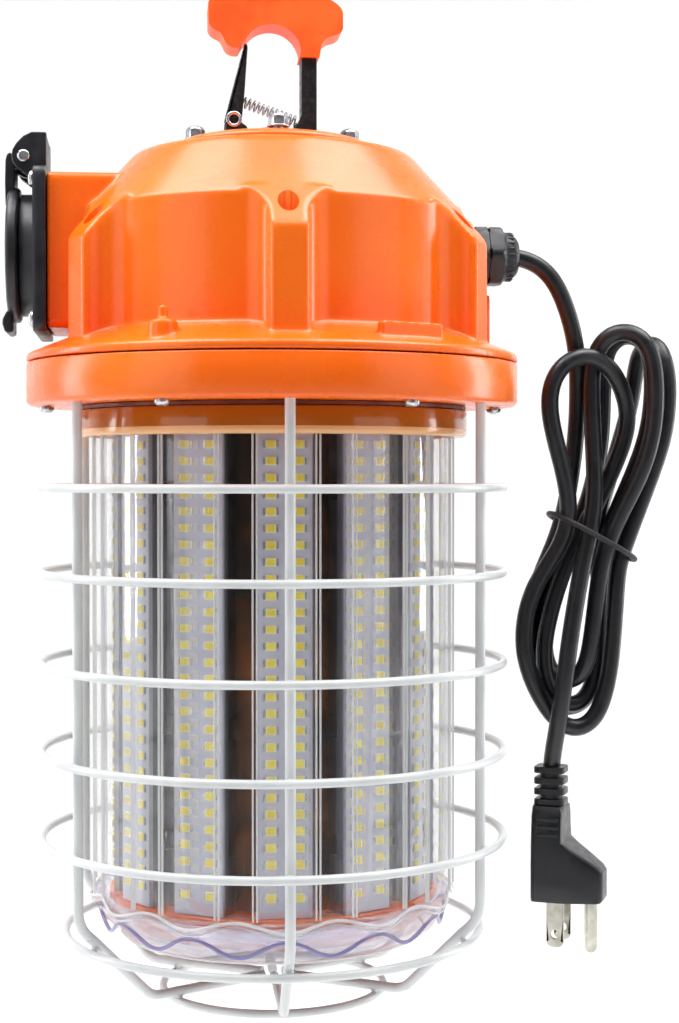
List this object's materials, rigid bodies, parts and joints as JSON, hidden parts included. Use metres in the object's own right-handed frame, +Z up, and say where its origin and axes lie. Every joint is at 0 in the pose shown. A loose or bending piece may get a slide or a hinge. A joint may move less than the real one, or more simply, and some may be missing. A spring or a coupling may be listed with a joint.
{
  "type": "hanging LED work light",
  "caption": "Hanging LED work light: safety hook, orange housing with covered outlet, clear fluted lens over an LED column, round wire guard and mains lead.",
  "frame": {"origin": "the hook's saddle, the top of the arch under the orange grip, on the light's upright axis", "axes": "+Z up along the light's axis, +X towards the cable gland and lead, -X towards the covered outlet, -Y the front"},
  "size_m": [0.2433, 0.175, 0.3546],
  "materials": {
    "aluminium": "rolled aluminium",
    "black_plastic": "moulded black plastic",
    "black_pvc": "soft black PVC",
    "black_steel": "black powder coat on steel",
    "clear_plastic": "clear polycarbonate",
    "grey_plastic": "grey plastic",
    "nickel": "nickel-plated brass",
    "orange_paint": "glossy orange powder coat on die-cast aluminium",
    "orange_plastic": "moulded orange plastic",
    "seal_rubber": "black seal rubber",
    "white_board": "white solder mask on an aluminium board",
    "white_coated_wire": "white powder coat on steel wire",
    "zinc": "bright zinc plate"
  },
  "bodies": {
    "hook": {"hook_bracket": "black_steel", "hook_grip": "orange_plastic", "hook_bolt": "zinc", "hook_nut": "zinc", "gate_pin": "zinc", "gate_spring": "zinc"},
    "gate": {"hook_gate": "black_steel"},
    "flap": {"outlet_flap": "black_plastic", "flap_seal": "seal_rubber"},
    "lamp": {"cord_hank": "black_pvc", "cord_lead": "black_pvc", "cord_tail": "black_pvc", "cord_tie": "seal_rubber", "driver_tray": "aluminium", "flap_pin": "zinc", "flap_spring": "zinc", "gland_body": "black_plastic", "gland_nut": "black_plastic", "gland_seal": "seal_rubber", "guard_ring_1": "white_coated_wire", "guard_ring_2": "white_coated_wire", "guard_ring_3": "white_coated_wire", "guard_ring_4": "white_coated_wire", "guard_ring_5": "white_coated_wire", "guard_ring_6": "white_coated_wire", "guard_ring_7": "white_coated_wire", "guard_rod_1": "white_coated_wire", "guard_rod_2": "white_coated_wire", "guard_rod_3": "white_coated_wire", "guard_rod_4": "white_coated_wire", "guard_rod_5": "white_coated_wire", "guard_rod_6": "white_coated_wire", "housing_gasket": "seal_rubber", "led_board_set": "white_board", "led_bottom_plate": "orange_paint", "led_core": "aluminium", "led_driver": "grey_plastic", "led_top_plate": "orange_paint", "lens_cover": "clear_plastic", "lens_gasket": "seal_rubber", "lower_ring": "orange_paint", "outlet_frame": "black_plastic", "outlet_insert": "black_plastic", "plug_blade_1": "nickel", "plug_blade_2": "nickel", "plug_body": "black_pvc", "plug_ground_pin": "nickel", "ring_screw_1": "zinc", "ring_screw_2": "zinc", "ring_screw_3": "zinc", "ring_screw_4": "zinc", "ring_screw_5": "zinc", "ring_screw_6": "zinc", "terminal_block": "grey_plastic", "top_cap": "orange_paint", "top_screw_1": "zinc", "top_screw_2": "zinc", "top_screw_3": "zinc", "top_screw_4": "zinc", "upper_housing": "orange_paint"}
  },
  "joints": [
    {"name": "hook_swivel", "type": "hinge", "parent": "hook", "child": "lamp", "pos_m": [0, 0, -0.04], "axis": [0, 0, 1], "range_deg": [-180, 180]},
    {"name": "gate_hinge", "type": "hinge", "parent": "hook", "child": "gate", "pos_m": [-0.0143, 0, -0.0341], "axis": [0, 1, 0], "range_deg": [0, 32], "stiffness_Nm_per_rad": 0.05, "springref_deg": -22.92, "deforming": ["gate_spring"]},
    {"name": "flap_hinge", "type": "hinge", "parent": "lamp", "child": "flap", "pos_m": [-0.0874, 0, -0.0495], "axis": [0, 1, 0], "range_deg": [0, 110], "stiffness_Nm_per_rad": 0.03, "springref_deg": -34.38, "deforming": ["flap_spring"]}
  ]
}
